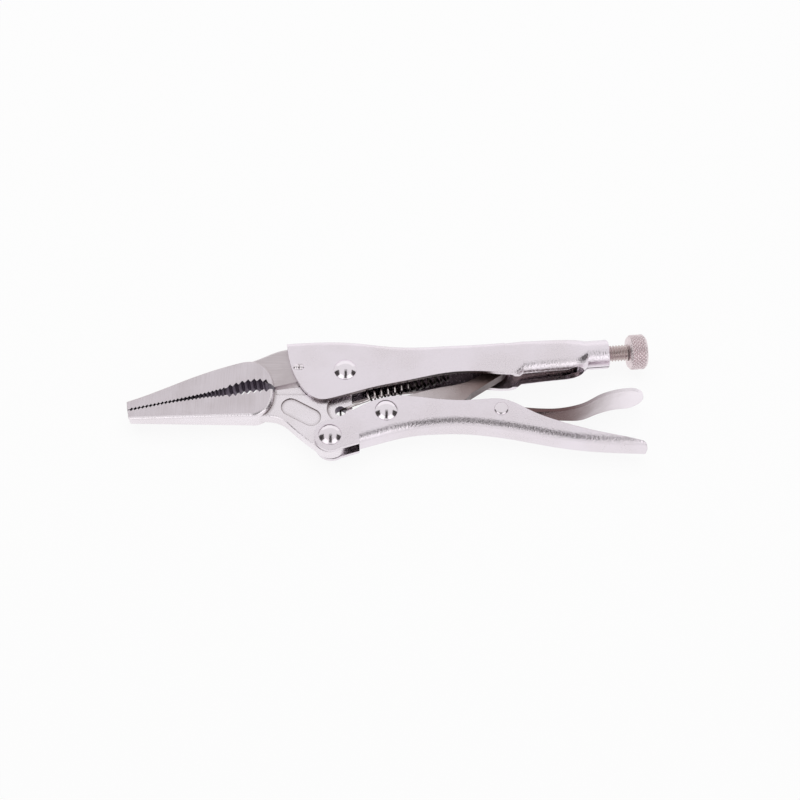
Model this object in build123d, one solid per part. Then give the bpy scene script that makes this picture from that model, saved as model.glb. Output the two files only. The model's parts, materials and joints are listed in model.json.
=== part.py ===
from build123d import *
import math
import os

# Driving dimensions, in millimetres
overall_length = 228.5
sheet = 1.9
front_width = 10.8
grip_width = 17.0
lower_width = 12.6
nose_root = 11.4
nose_tip = 5.2
lever_sheet = 1.5
paddle_width = 16.4
rivet_dia = 5.0
head_dia = 9.9
head_height = 2.4
small_rivet_dia = 3.4
small_head_dia = 6.2
small_head_height = 0.8
screw_dia = 7.2
knob_dia = 15.5
knob_length = 7.9
wire_dia = 0.95
coil_turns = 12

# Clearances, in millimetres
side_gap = 0.3
pin_gap = 0.05
seat_gap = 0.03
hub_gap = 0.4
thread_gap = 0.08
tip_gap = 1.7

# The outlines are drawn at this length, with the main rivet at the origin, the jaw tip at
# -X, the upper handle at +Y and the near side of the tool at +Z
drawn_length = 228.5
grow = overall_length / drawn_length


def place(x, y):
    return (x * grow, y * grow)


def path(points):
    return [place(*point) for point in points]


# Widths that follow from the driving dimensions
front_half = front_width / 2
grip_half = grip_width / 2
lower_half = lower_width / 2
inner_half = front_half - sheet
shank_half = inner_half - seat_gap
tail_half = inner_half - side_gap
lug_half = tail_half * 0.55
toggle_half = inner_half - 0.5
lever_half = lower_half - sheet - side_gap
paddle_half = paddle_width / 2
bend_radius = 3.0
inner_bend = bend_radius - sheet
rivet_hole = rivet_dia / 2 + pin_gap
small_rivet_hole = small_rivet_dia / 2 + pin_gap
deep = 40.0
forward = (Align.CENTER, Align.CENTER, Align.MIN)

# Pivots and other named places
main_pivot = place(0, 0)
jaw_pivot = place(-6.1, -31.7)
toggle_pivot = place(18.0, -20.0)
lever_pivot = place(67.6, -19.8)
nose_centre = place(69.0, 4.6)
pin_centre = place(-20.4, 1.3)
pin_length = 4.4
pin_width = 2.6
stake_domes = [(-1.0, 1.6, 0.95), (1.15, 1.3, 0.75)]
spring_hole = place(-1.9, -18.7)
spring_hole_radius = 2.35
tab_x = 58.0 * grow
tab_hole_y = 5.4 * grow
hub_radius = 8.0 * grow
boss_radius = 7.4 * grow
ear_radius = 6.8 * grow
toggle_hub_radius = 6.0 * grow
toggle_nose_radius = 3.8 * grow

# Screw line: it rises towards the knob
screw_tilt = 4.6
knob_centre = place(129.4, 11.9)
screw_along = Vector(math.cos(math.radians(screw_tilt)), math.sin(math.radians(screw_tilt)), 0)
screw_slope = math.tan(math.radians(screw_tilt))
collar_wall = 2.75
collar_radius = screw_dia / 2 + thread_gap + collar_wall


def screw_y(x):
    return knob_centre[1] + (x - knob_centre[0]) * screw_slope


def around(centre, radius, degrees):
    """Point on a circle."""
    turn = math.radians(degrees)
    return (centre[0] + radius * math.cos(turn), centre[1] + radius * math.sin(turn))


def slab(face, half=deep):
    return extrude(face, amount=half, both=True)


def hole(centre, radius):
    return slab(Pos(*centre) * Circle(radius))


def plan_slab(edges):
    return extrude(Plane.XZ * make_face(edges), amount=2 * deep, both=True)


def ring(x, top, bottom, half, top_radius, bottom_radius):
    """Closed rounded rectangle across the tool at x, drawn from its top left corner."""
    def spot(y, z):
        return Vector(x, y, z)

    def corner(y, z, radius, y_sign, z_sign):
        bulge = radius * math.sqrt(0.5)
        return spot(y + y_sign * bulge, z + z_sign * bulge)

    top_y = top - top_radius
    bottom_y = bottom + bottom_radius
    top_z = half - top_radius
    bottom_z = half - bottom_radius
    edges = [
        Edge.make_line(spot(top, -top_z), spot(top, top_z)),
        Edge.make_three_point_arc(
            spot(top, top_z), corner(top_y, top_z, top_radius, 1, 1), spot(top_y, half)),
        Edge.make_line(spot(top_y, half), spot(bottom_y, half)),
        Edge.make_three_point_arc(
            spot(bottom_y, half), corner(bottom_y, bottom_z, bottom_radius, -1, 1),
            spot(bottom, bottom_z)),
        Edge.make_line(spot(bottom, bottom_z), spot(bottom, -bottom_z)),
        Edge.make_three_point_arc(
            spot(bottom, -bottom_z), corner(bottom_y, -bottom_z, bottom_radius, -1, -1),
            spot(bottom_y, -half)),
        Edge.make_line(spot(bottom_y, -half), spot(top_y, -half)),
        Edge.make_three_point_arc(
            spot(top_y, -half), corner(top_y, -top_z, top_radius, 1, -1), spot(top, -top_z)),
    ]
    return Wire(edges)


def flared_plan(x0, x1, flat_end, flare_end, half0, half1):
    """Edges of a channel seen from above: narrow, then flared, then wide."""
    near = [
        Line((x0, half0), (flat_end, half0)),
        Spline((flat_end, half0), (flare_end, half1), tangents=((1, 0), (1, 0))),
        Line((flare_end, half1), (x1, half1)),
    ]
    far = [
        Line((x0, -half0), (flat_end, -half0)),
        Spline((flat_end, -half0), (flare_end, -half1), tangents=((1, 0), (1, 0))),
        Line((flare_end, -half1), (x1, -half1)),
    ]
    ends = [Line((x0, half0), (x0, -half0)), Line((x1, half1), (x1, -half1))]
    return near + far + ends


# Upper handle
upper_spine = [(-26.2, 14.1), (-11.5, 15.0), (0, 14.9), (11, 13.8), (24, 12.1), (37.4, 11.3),
               (50.6, 11.6), (62, 12.3), (70, 13.0)]
upper_lower_edge = [(70, -3.3), (60, -2.5), (50.6, -2.6), (41.8, -3.5), (29.9, -5.5), (13.1, -8.5),
                    (4.9, -10.9), (-5.1, -13.9), (-10.2, -14.7), (-15.2, -12.5), (-19.1, -8.2),
                    (-22.8, -1.25), (-25.0, 6.5), (-26.2, 14.1)]
grip_start = 69.2 * grow
crease_step = 0.15
crease_low = -3.1 * grow
neck_dip = 0.55
grip_open = 78.0 * grow
neck_end = 107.5 * grow
collar_end = 116.5 * grow
curl_radius = 4.2
slot_half_front = 5.0
slot_half_rear = 4.4
flare_start = 12 * grow
flare_end = 50 * grow


def grip_rings(inset):
    """Outer rings of the rolled rear part, or inner ones when set in by the sheet."""
    neck_y = screw_y(neck_end)
    neck_radius = collar_radius - neck_dip
    stations = [
        (grip_open, 13.85 * grow, -1.8 * grow, grip_half - 0.06, 3.4, curl_radius),
        (84 * grow, 14.5 * grow, -1.1 * grow, grip_half - 0.14, 4.0, curl_radius + 0.2),
        (91 * grow, 15.2 * grow, -0.3 * grow, grip_half - 0.3, 4.6, curl_radius + 0.4),
        (98 * grow, 15.8 * grow, 0.3 * grow, grip_half - 0.6, 5.2, curl_radius + 0.7),
        (103 * grow, 16.2 * grow, 1.1 * grow, grip_half - 1.2, 5.8, 5.6),
        (neck_end, neck_y + neck_radius, neck_y - neck_radius, neck_radius,
         neck_radius - 0.15, neck_radius - 0.15),
    ]
    if inset:
        stations = stations[:-1]
    rings = []
    for x, top, bottom, half, top_radius, bottom_radius in stations:
        radii = (top_radius - inset, bottom_radius - inset)
        rings.append(ring(x, top - inset, bottom + inset, half - inset, *radii))
    return rings


def crease_rings(inset):
    """Rings of the short stretch where the flat walls start to roll under."""
    spine_y = 12.85 * grow - crease_step
    flat_bottom = crease_low - curl_radius - sheet
    half = grip_half - crease_step - inset
    radii = (bend_radius - inset, curl_radius - inset)
    start = ring(grip_start, spine_y - inset, flat_bottom + inset, half, *radii)
    return [start, grip_rings(inset)[0]]


def front_channel(inset):
    """Flat-walled front part, or the space inside it when set in by the sheet."""
    spine = [(x, y - inset / grow) for x, y in upper_spine]
    half0 = front_half - inset
    half1 = grip_half - inset
    side = [Spline(*path(spine))]
    if inset:
        front, low = -60, -40
        corners = [spine[-1], (spine[-1][0], low), (front, low), (front, spine[0][1]), spine[0]]
        side.append(Polyline(*path(corners)))
    else:
        side.append(Line(*path([spine[-1], upper_lower_edge[0]])))
        side.append(Spline(*path(upper_lower_edge)))
    plan = flared_plan(-70 * grow, 90 * grow, flare_start, flare_end, half0, half1)
    body = slab(make_face(side)) & plan_slab(plan)
    top_edges = [edge for edge in body.edges() if abs(edge.center().Z) > half0 - 0.6
                 and edge.center().Y > 9 * grow and edge.length > 5]
    return fillet(top_edges, bend_radius - inset)


def upper_form(inset):
    """Whole channel as a solid form, or the space inside it when set in by the sheet."""
    crease = Solid.make_loft(crease_rings(inset), True)
    return front_channel(inset) + crease + Solid.make_loft(grip_rings(inset))


def make_upper_handle():
    outer = upper_form(0)
    collar_length = (collar_end - neck_end) / math.cos(math.radians(screw_tilt)) + 1.5
    collar_start = Vector(neck_end, screw_y(neck_end), 0) - screw_along * 1.5
    collar_plane = Plane(origin=collar_start, z_dir=screw_along)
    collar = collar_plane * Cylinder(collar_radius, collar_length, align=forward)
    collar = chamfer(collar.edges().sort_by(Axis.X)[-1:], 0.4)
    outer = outer + collar
    handle = outer - upper_form(sheet)
    bore = collar_plane * Cylinder(screw_dia / 2 + thread_gap, 60)
    handle = handle - bore
    slot_edges = [
        Line((grip_start - 0.5, slot_half_front), (98 * grow, slot_half_rear)),
        ThreePointArc((98 * grow, slot_half_rear), (105.5 * grow, 0), (98 * grow, -slot_half_rear)),
        Line((98 * grow, -slot_half_rear), (grip_start - 0.5, -slot_half_front)),
        Line((grip_start - 0.5, -slot_half_front), (grip_start - 0.5, slot_half_front)),
    ]
    slot = extrude(Plane.XZ.offset(-4.5 * grow) * make_face(slot_edges), amount=deep)
    handle = handle - slot
    crease_trim = Pos(grip_open, crease_low - deep, 0) * Box(
        30, deep, 2 * deep, align=(Align.CENTER, Align.MIN, Align.CENTER))
    handle = handle - crease_trim
    seam = Pos(104 * grow, screw_y(104 * grow), 0) * Box(
        20, 3 * collar_radius, 0.6, align=(Align.MIN, Align.MAX, Align.CENTER))
    handle = handle - seam
    handle = handle - hole(main_pivot, rivet_hole)
    handle = handle - slab(pin_face(pin_gap))
    return handle + make_spring_tab()


def pin_face(extra=0.0):
    """Oblong section of the staked pin."""
    return Pos(*pin_centre) * SlotOverall(pin_length + 2 * extra, pin_width + 2 * extra)


def make_spring_tab():
    """Tongue inside the spine that the rear end of the spring goes through."""
    tab_top = 11.8 * grow - sheet / 2
    tab = Pos(tab_x, tab_top - 4 * grow, 0) * Box(sheet, 8 * grow, 5.0)
    hole = Pos(tab_x, tab_hole_y, 0) * Rot(0, 90, 0) * Cylinder(wire_dia / 2 + 0.5, 4 * sheet)
    return tab - hole


# Jaws
nose_top = [(-95.0, -14.3), (-85.0, -10.6), (-63.7, -1.7), (-50.5, 2.7), (-46.5, 3.8)]
upper_cheek = [(-46.5, 3.8), (-42.6, 4.4), (-39.2, 3.9), (-35.6, 1.7), (-32.9, -1.8), (-31.3, -6.0),
               (-30.5, -9.0)]
upper_cheek_round = 0.8
lower_cheek_round = 1.6
upper_bite = [(-94.4, -18.5), (-76.8, -14.95), (-60.9, -11.4), (-52.3, -9.0), (-49.0, -8.0),
              (-43.7, -6.2), (-38.7, -5.6), (-34.9, -6.0), (-32.2, -7.4), (-30.5, -9.0)]
lower_bite = [(-94.3, -18.8), (-76.8, -15.25), (-70.7, -14.4), (-60.4, -12.9), (-52.1, -12.3),
              (-43.4, -11.1), (-38.6, -10.3), (-34.7, -9.9), (-31.0, -9.6)]
lower_cheek = [(-31.0, -9.6), (-31.2, -14.4), (-32.9, -18.9), (-36.3, -21.9), (-41.0, -22.8)]
lower_belly = [(-44.0, -22.7), (-38.6, -22.0), (-34.0, -22.0), (-29.3, -22.8), (-25.6, -24.8),
               (-21.4, -28.7), (-16.8, -32.7), (-12.6, -36.0)]
fine_teeth = 25
fine_span = (-92.6, -52.9)
fine_depth = 0.7
fine_half = 0.62
coarse_teeth = 7
upper_coarse_span = (-50.3, -34.6)
lower_coarse_span = (-50.0, -34.0)
coarse_depth = 1.3
coarse_half = 1.12
tooth_lean = 0.12
nose_end = -95.0
nose_full = -29.0
pocket_centre = place(-18.95, -19.85)
pocket_turn = -29.3
pocket_length = 18.8 * grow
pocket_width = 8.4 * grow
pocket_depth = 0.6
spot_centre = place(-0.6, -18.0)
spot_radius = 7.2 * grow
shoulder_corners = [(-30.2, -11.5), (-9, -11.5), (-9, 10), (-30.2, 10)]
shoulder_depth = 0.4


def level(line, x):
    """Height of a broken line at x."""
    for (x0, y0), (x1, y1) in zip(line, line[1:]):
        if x <= x1:
            return y0 + (y1 - y0) * (x - x0) / (x1 - x0)
    return line[-1][1]


def bite(line, coarse_span, into):
    """Toothed edge: the broken line with fine notches at the tip and coarse ones behind."""
    fine = (fine_span, fine_teeth, fine_depth, fine_half)
    coarse = (coarse_span, coarse_teeth, coarse_depth, coarse_half)
    points = [line[0]]
    for (first, last), count, depth, half in (fine, coarse):
        for number in range(count):
            x = first + (last - first) * number / (count - 1)
            points.append((x - half, level(line, x - half)))
            points.append((x + tooth_lean * into, level(line, x) + into * depth))
            points.append((x + half, level(line, x + half)))
    points += [point for point in line if point[0] > points[-1][0] + 0.3]
    return points


def nose_wedge():
    """Plan of both noses: thin at the tip, full at the throat."""
    tip = nose_tip / 2
    root = nose_root / 2
    near = [(nose_end, tip), (nose_full, root), (0, root)]
    far = [(x, -z) for x, z in reversed(near)]
    corners = [(x * grow, z) for x, z in near + far]
    return plan_slab(Polyline(*corners, close=True))


def cheek_edges(nose):
    """Long edges round the cheeks of a nose, away from its teeth."""
    longest_tooth = 12 * grow
    return [edge for edge in nose.edges()
            if edge.length > longest_tooth and abs(edge.center().Z) > nose_tip / 2]


def make_fixed_jaw():
    edge = bite(upper_bite, upper_coarse_span, 1)
    nose_side = [
        Spline(*path(nose_top)),
        Spline(*path(upper_cheek)),
        Polyline(*path(edge)),
        Line(*path([edge[0], nose_top[0]])),
    ]
    nose = slab(make_face(nose_side)) & nose_wedge()
    nose = fillet(cheek_edges(nose), upper_cheek_round)
    spine_fit = [(x, y - (sheet + side_gap) / grow) for x, y in upper_spine[:3]]
    clear = hub_radius + hub_gap
    arc_top = around(main_pivot, clear, 105)
    arc_low = around(main_pivot, clear, 192)
    roof_end = (arc_top[0], level(path(spine_fit), arc_top[0]))
    roof_line = [(-44, 4.6), (-40.4, 5.95), (-35.6, 8.1), (-30.4, 10.5), (-25.0, 11.9), (-11.5, 12.8)]
    tang_side = [
        Spline(*path(roof_line), roof_end),
        Line(roof_end, arc_top),
        ThreePointArc(arc_top, around(main_pivot, clear, 150), arc_low),
        Polyline(arc_low, *path([(-30.6, -7.7), (-38, -4.0), (-44, 0), (-44, 4.6)])),
    ]
    tang = slab(make_face(tang_side), shank_half)
    roof = [edge for edge in tang.edges() if edge.center().Y > 5 * grow and edge.length > 20]
    tang = chamfer(roof, inner_bend)
    return nose + tang - slab(pin_face(pin_gap))


def make_moving_jaw():
    edge = bite(lower_bite, lower_coarse_span, -1)
    nose_side = [
        Polyline(*path(edge)),
        Spline(*path(lower_cheek)),
        Polyline(*path([lower_cheek[-1], (-92.6, -23.2), (-93.6, -22.3), edge[0]])),
    ]
    nose = slab(make_face(nose_side)) & nose_wedge()
    nose = fillet(cheek_edges(nose), lower_cheek_round)
    boss_low = around(jaw_pivot, boss_radius, 221)
    boss_right = around(jaw_pivot, boss_radius, 0)
    hub_right = around(main_pivot, hub_radius, -50)
    hub_left = around(main_pivot, hub_radius, 222)
    tail_side = [
        Spline(*path(lower_belly), boss_low),
        ThreePointArc(boss_low, around(jaw_pivot, boss_radius, 290), boss_right),
        Spline(boss_right, *path([(2.6, -23.5), (3.3, -17.5), (2.9, -12.5)]), hub_right),
        ThreePointArc(hub_right, around(main_pivot, hub_radius, 90), hub_left),
        Polyline(hub_left, *path([(-18.4, -7.2), (-30.4, -8.9), (-44, -14), (-44, -22.7)])),
    ]
    tail = slab(make_face(tail_side), tail_half)
    belly = [edge for edge in tail.edges() if edge.length > 30 and edge.center().Y < -20 * grow]
    tail = fillet(belly, 1.1)
    jaw = nose + tail
    jaw = jaw - hole(main_pivot, rivet_hole) - hole(jaw_pivot, rivet_hole)
    jaw = jaw - hole(spring_hole, spring_hole_radius)
    pocket = Pos(*pocket_centre) * Rot(0, 0, pocket_turn) * SlotOverall(pocket_length, pocket_width)
    spot = Pos(*spot_centre) * Circle(spot_radius)
    shoulder = make_face(Polyline(*path(shoulder_corners), close=True))
    jaw = jaw - extrude(Pos(0, 0, lug_half) * spot, deep, dir=(0, 0, 1))
    for face, level_z in [(pocket, tail_half - pocket_depth), (shoulder, tail_half - shoulder_depth)]:
        for side in (1, -1):
            jaw = jaw - extrude(Pos(0, 0, side * level_z) * face, side * deep, dir=(0, 0, 1))
    return jaw


# Lower handle
lower_top = [(-7.8, -25.1), (-4.6, -24.2), (3.5, -20.1), (9.7, -16.5), (18.0, -13.7), (24, -12.9),
             (33, -13.7), (41.7, -15.0), (52.8, -15.6), (63, -14.9), (68.1, -15.0), (73.9, -17.0),
             (80.4, -20.7), (92.5, -25.8), (110.4, -31.0), (122, -33.5), (129.2, -35.15)]
lower_spine = [(129.2, -37.1), (115.5, -36.6), (103.4, -35.7), (91.4, -34.0), (72.9, -30.3),
               (59.6, -28.3), (50.7, -27.6), (41.8, -27.8), (33, -28.6), (24.1, -30.2), (15.3, -32.7),
               (6.7, -35.3), (-1.7, -38.0)]
spine_start = 6.5
lower_flat_end = 26 * grow
lower_flare_end = 50 * grow
handle_end = 129.8 * grow
end_corner = 4.4
lower_bend = 4.4


def lower_end():
    """Plan that rounds the rear corners of the lower handle."""
    start = -40 * grow
    wide = lower_half + 2
    corner = handle_end - end_corner
    inner = lower_half - end_corner
    bulge = end_corner * math.sqrt(0.5)
    edges = [Line((start, wide), (start, -wide)), Line((handle_end, inner), (handle_end, -inner))]
    for side in (1, -1):
        edges.append(Polyline((start, side * wide), (corner, side * wide), (corner, side * lower_half)))
        edges.append(ThreePointArc((corner, side * lower_half), (corner + bulge, side * (inner + bulge)),
                                   (handle_end, side * inner)))
    return plan_slab(edges)


def lower_channel(inset):
    """Tall-walled channel along the lower spine, or the space inside it when set in by the sheet."""
    floor = [(x, y + inset / grow) for x, y in lower_spine]
    floor = [(140, floor[0][1] - 0.3)] + floor
    side = [Spline(*path(floor)), Polyline(*path([floor[-1], (floor[-1][0], 10), (140, 10), floor[0]]))]
    halves = (front_half - inset, lower_half - inset)
    plan = flared_plan(-40 * grow, 160 * grow, lower_flat_end, lower_flare_end, *halves)
    body = slab(make_face(side)) & plan_slab(plan)
    low_edges = [edge for edge in body.edges() if abs(edge.center().Z) > front_half - inset - 0.6
                 and edge.center().Y < -25 * grow and edge.length > 15]
    return fillet(low_edges, lower_bend - inset)


def below_lower_top():
    """Everything under the upper edge of the lower handle's walls."""
    top = lower_top + [(140, lower_top[-1][1] - 2)]
    side = [Spline(*path(top)), Polyline(*path([top[-1], (140, -60), (top[0][0], -60), top[0]]))]
    return slab(make_face(side))


def lower_ears():
    """Flat ears around the jaw rivet, with no spine between them."""
    ear_back = (jaw_pivot[0] - ear_radius, jaw_pivot[1])
    end = 12
    spine = [point for point in lower_spine if point[0] < end + 4]
    top = [point for point in lower_top if point[0] < end + 8]
    side = [
        Spline(*path(top)),
        Line(*path([top[-1], spine[0]])),
        Spline(*path(spine)),
        ThreePointArc(place(*lower_spine[-1]), ear_back, place(*lower_top[0])),
    ]
    return slab(make_face(side), front_half)


def make_lower_handle():
    cut = Pos(spine_start * grow, 0, 0) * Box(
        4 * deep, 4 * deep, 2 * deep, align=(Align.MIN, Align.CENTER, Align.CENTER))
    channel = (lower_channel(0) - lower_channel(sheet)) & below_lower_top() & cut & lower_end()
    gap = slab(Rectangle(8 * deep, 8 * deep), inner_half)
    handle = channel + (lower_ears() - gap - cut)
    handle = handle - hole(jaw_pivot, rivet_hole) - hole(toggle_pivot, rivet_hole)
    return handle - hole(lever_pivot, small_rivet_hole)


# Toggle link
def make_toggle_link():
    hub_top = around(toggle_pivot, toggle_hub_radius, 85)
    hub_low = around(toggle_pivot, toggle_hub_radius, 289)
    hub_back = around(toggle_pivot, toggle_hub_radius, 180)
    nose_front = around(nose_centre, toggle_nose_radius, 0)
    nose_up = around(nose_centre, toggle_nose_radius, 135)
    nose_low = around(nose_centre, toggle_nose_radius, -37)
    side = [
        ThreePointArc(hub_top, hub_back, hub_low),
        Polyline(hub_low, *path([(47.5, -16.4), (52.9, -13.3), (55.2, -10.5), (69.2, -1.0)]), nose_low),
        ThreePointArc(nose_low, nose_front, nose_up),
        Spline(nose_up, *path([(61.5, 0.6), (54.5, -4.3), (40, -8.0), (26.5, -11.8)]), hub_top),
    ]
    link = slab(make_face(side), toggle_half)
    return link - hole(toggle_pivot, rivet_hole)


# Release lever
lever_top = [(51.5, -17.6), (58, -16.5), (67, -16.2), (76.6, -17.8), (85.7, -18.6), (93, -18.6),
             (98.3, -18.2), (104, -17.0), (110.3, -13.9), (114, -12.5), (118.6, -11.3), (122.4, -10.8),
             (130.4, -10.1)]
lever_flange = [(51.5, -18.6), (58.5, -21.5), (63.5, -24.0), (71.5, -24.0), (77.5, -21.9), (86.5, -20.4)]
flange_end = 88
lever_narrow_end = 88 * grow
paddle_start = 113 * grow
paddle_end = 130.4 * grow


def lever_plan(inset):
    front = 50 * grow
    narrow = lever_half - inset
    wide = paddle_half - inset
    round_start = paddle_end - 0.75 * paddle_half
    edges = []
    for side in (1, -1):
        edges.append(Line((front, side * narrow), (lever_narrow_end, side * narrow)))
        flare = [(lever_narrow_end, side * narrow), (paddle_start, side * wide)]
        edges.append(Spline(*flare, tangents=((1, 0), (1, 0))))
        edges.append(Line((paddle_start, side * wide), (round_start, side * wide)))
    edges.append(Line((front, narrow), (front, -narrow)))
    edges.append(ThreePointArc((round_start, wide), (paddle_end - inset, 0), (round_start, -wide)))
    return edges


def make_release_lever():
    below = [(x, y - lever_sheet / grow) for x, y in lever_top]
    web_side = [
        Spline(*path(lever_top)),
        Line(*path([lever_top[-1], below[-1]])),
        Spline(*path(below)),
        Line(*path([below[0], lever_top[0]])),
    ]
    web = slab(make_face(web_side)) & plan_slab(lever_plan(0))
    roof = [(x, y - 0.4) for x, y in lever_top if x < flange_end]
    flange_side = [
        Spline(*path(roof)),
        Polyline(*path([roof[-1], lever_flange[-1]])),
        Spline(*path(lever_flange)),
        Line(*path([lever_flange[0], roof[0]])),
    ]
    flange = slab(make_face(flange_side)) & plan_slab(lever_plan(0))
    lever = web + (flange - plan_slab(lever_plan(lever_sheet)))
    return lever - hole(lever_pivot, small_rivet_hole)


# Rivets and the staked pin
def rivet(centre, shank_radius, half_length, head_radius, height):
    """Shank with a domed head on each side; each head is a short rim and a cap."""
    rim = height * 0.28
    rise = height - rim
    profile = [
        Line((0, 0), (0, half_length + height)),
        ThreePointArc((0, half_length + height),
                      (head_radius * 0.55, half_length + height - rise * 0.28),
                      (head_radius, half_length + rim)),
        Polyline((head_radius, half_length + rim), (head_radius, half_length),
                 (shank_radius, half_length), (shank_radius, 0), (0, 0)),
    ]
    upper = revolve(Plane.XZ * make_face(profile), Axis.Z)
    return Pos(*centre) * (upper + mirror(upper, Plane.XY))


def make_jaw_pin():
    body = slab(pin_face(), front_half)
    between_walls = slab(Rectangle(4 * deep, 4 * deep), front_half)
    for side in (1, -1):
        for along, radius, height in stake_domes:
            middle = side * (front_half + height - radius)
            dome = Pos(pin_centre[0] + along, pin_centre[1], middle) * Sphere(radius)
            body = body + (dome - between_walls)
    return body


# Adjusting screw and knob
screw_tip = nose_centre[0] + toggle_nose_radius + tip_gap
knob_start = knob_centre[0] - knob_length / 2
rod_share = 0.75


def on_screw(x):
    return Plane(origin=(x, screw_y(x), 0), z_dir=screw_along)


def make_adjusting_screw():
    reach = (knob_start + rod_share * knob_length - screw_tip) / screw_along.X
    rod = on_screw(screw_tip) * Cylinder(screw_dia / 2, reach, align=forward)
    return fillet(rod.edges().sort_by(Axis.X)[:1], 1.6)


def make_adjusting_knob():
    knob = on_screw(knob_start) * Cylinder(knob_dia / 2, knob_length, align=forward)
    knob = chamfer(knob.edges().filter_by(GeomType.CIRCLE), 0.9)
    bore_depth = rod_share * knob_length + side_gap
    bore = on_screw(knob_start) * Cylinder(screw_dia / 2 + pin_gap, bore_depth, align=forward)
    return knob - bore


# Jaw spring
coil_radius = inner_half - wire_dia
coil_start = place(10.0, -11.4)
coil_end = place(45.0, 0.6)
hook_bend = 1.3


def biarc(start, along, end, out):
    """Two arcs from a point and direction to another point and direction."""
    across = end - start
    both = along + out
    spread = 2 * (1 - along.dot(out))
    reach = across.dot(both)
    if spread < 1e-6:
        arm = across.dot(across) / (2 * reach)
    else:
        arm = (math.sqrt(reach ** 2 + spread * across.dot(across)) - reach) / spread
    knee0 = start + along * arm
    knee1 = end - out * arm
    middle = (knee0 + knee1) * 0.5
    through = (knee1 - knee0).normalized()
    return [Edge.make_tangent_arc(start, along, middle), Edge.make_tangent_arc(middle, through, end)]


def spring_path():
    """Wire line: hook in the jaw, run, coil, and the end that is bent up behind the tab."""
    up = Vector(0, 0, 1)
    first = Vector(*coil_start, 0)
    axis = Vector(*coil_end, 0) - first
    coil_length = axis.length
    axis = axis.normalized()
    rise = up.cross(axis)
    pitch = coil_length / coil_turns
    slope = pitch / (2 * math.pi * coil_radius)

    def coil_point(angle):
        along = axis * (pitch * angle / (2 * math.pi))
        spoke = up * math.cos(angle) + rise * math.sin(angle)
        return first + along + spoke * coil_radius

    def coil_way(angle):
        return (rise * math.cos(angle) - up * math.sin(angle) + axis * slope).normalized()

    hook_top = Vector(*spring_hole, coil_radius)
    run_end = coil_point(0) - axis * (0.25 * coil_radius) - rise * (0.9 * coil_radius)
    run = (run_end - hook_top).normalized()
    hook_start = Vector(*spring_hole, -lug_half - 2 * wire_dia)
    hook_turn = hook_top - up * hook_bend
    run_start = hook_top + run * hook_bend
    edges = [Edge.make_line(hook_start, hook_turn), Edge.make_tangent_arc(hook_turn, up, run_start)]
    edges.append(Edge.make_line(run_start, run_end))
    edges += biarc(run_end, run, coil_point(0), coil_way(0))
    for half in range(2 * coil_turns):
        here = half * math.pi
        there = here + math.pi
        edges += biarc(coil_point(here), coil_way(here), coil_point(there), coil_way(there))
    last = 2 * math.pi * coil_turns
    leave = first + axis * (coil_length + 4.5)
    edges += biarc(coil_point(last), coil_way(last), leave, axis)
    ahead = Vector(1, 0, 0)
    tab_front = Vector(tab_x - sheet / 2 - 1.5, tab_hole_y, 0)
    tab_back = Vector(tab_x + sheet / 2 + wire_dia, tab_hole_y, 0)
    edges += biarc(leave, axis, tab_front, ahead)
    edges.append(Edge.make_line(tab_front, tab_back))
    lift = tab_back + ahead * hook_bend + Vector(0, hook_bend, 0)
    edges.append(Edge.make_tangent_arc(tab_back, ahead, lift))
    edges.append(Edge.make_line(lift, lift + Vector(0, 2 * wire_dia, 0)))
    return edges


def least_wire_gap(edges):
    """Least clear distance between stretches of wire that are not neighbours along it."""
    dots = []
    travelled = 0
    for edge in edges:
        count = max(2, int(edge.length / 0.25))
        for number in range(count):
            share = number / count
            dots.append((travelled + edge.length * share, edge @ share))
        travelled += edge.length
    least = 1000
    for number, (here, spot) in enumerate(dots):
        for there, other in dots[number + 1:]:
            if there - here > 5 * wire_dia:
                least = min(least, (other - spot).length)
    return least - wire_dia


def make_jaw_spring():
    edges = spring_path()
    print("least wire gap", round(least_wire_gap(edges), 2))
    section = Plane(origin=edges[0] @ 0, z_dir=edges[0] % 0) * Circle(wire_dia / 2)
    return sweep(section, path=Wire(edges))


big_rivet = (rivet_dia / 2, front_half, head_dia / 2, head_height)
small_rivet = (small_rivet_dia / 2, lower_half, small_head_dia / 2, small_head_height)
parts = {
    "upper_handle": make_upper_handle(),
    "fixed_jaw": make_fixed_jaw(),
    "moving_jaw": make_moving_jaw(),
    "lower_handle": make_lower_handle(),
    "toggle_link": make_toggle_link(),
    "release_lever": make_release_lever(),
    "main_rivet": rivet(main_pivot, *big_rivet),
    "jaw_rivet": rivet(jaw_pivot, *big_rivet),
    "toggle_rivet": rivet(toggle_pivot, *big_rivet),
    "lever_rivet": rivet(lever_pivot, *small_rivet),
    "jaw_pin": make_jaw_pin(),
    "adjusting_screw": make_adjusting_screw(),
    "adjusting_knob": make_adjusting_knob(),
    "jaw_spring": make_jaw_spring(),
}

# Move everything so that the origin is in the middle of the tool and its lowest side is at zero
boxes = [shape.bounding_box() for shape in parts.values()]
low = [min(tuple(box.min)[axis] for box in boxes) for axis in range(3)]
high = [max(tuple(box.max)[axis] for box in boxes) for axis in range(3)]
base = Vector((low[0] + high[0]) / 2, (low[1] + high[1]) / 2, low[2])
pivots = {
    "main_pivot": main_pivot,
    "jaw_pivot": jaw_pivot,
    "toggle_pivot": toggle_pivot,
    "lever_pivot": lever_pivot,
    "screw_tip": (screw_tip, screw_y(screw_tip)),
    "knob_centre": knob_centre,
}
for name, (x, y) in pivots.items():
    print(name, round(x - base.X, 4), round(y - base.Y, 4), round(-base.Z, 4))

os.makedirs("parts", exist_ok=True)
for name, shape in parts.items():
    moved = Pos(-base.X, -base.Y, -base.Z) * shape
    print(name, moved.is_valid, round(moved.volume, 1), len(moved.solids()), moved.bounding_box())
    export_step(moved, f"parts/{name}.step")
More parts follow.
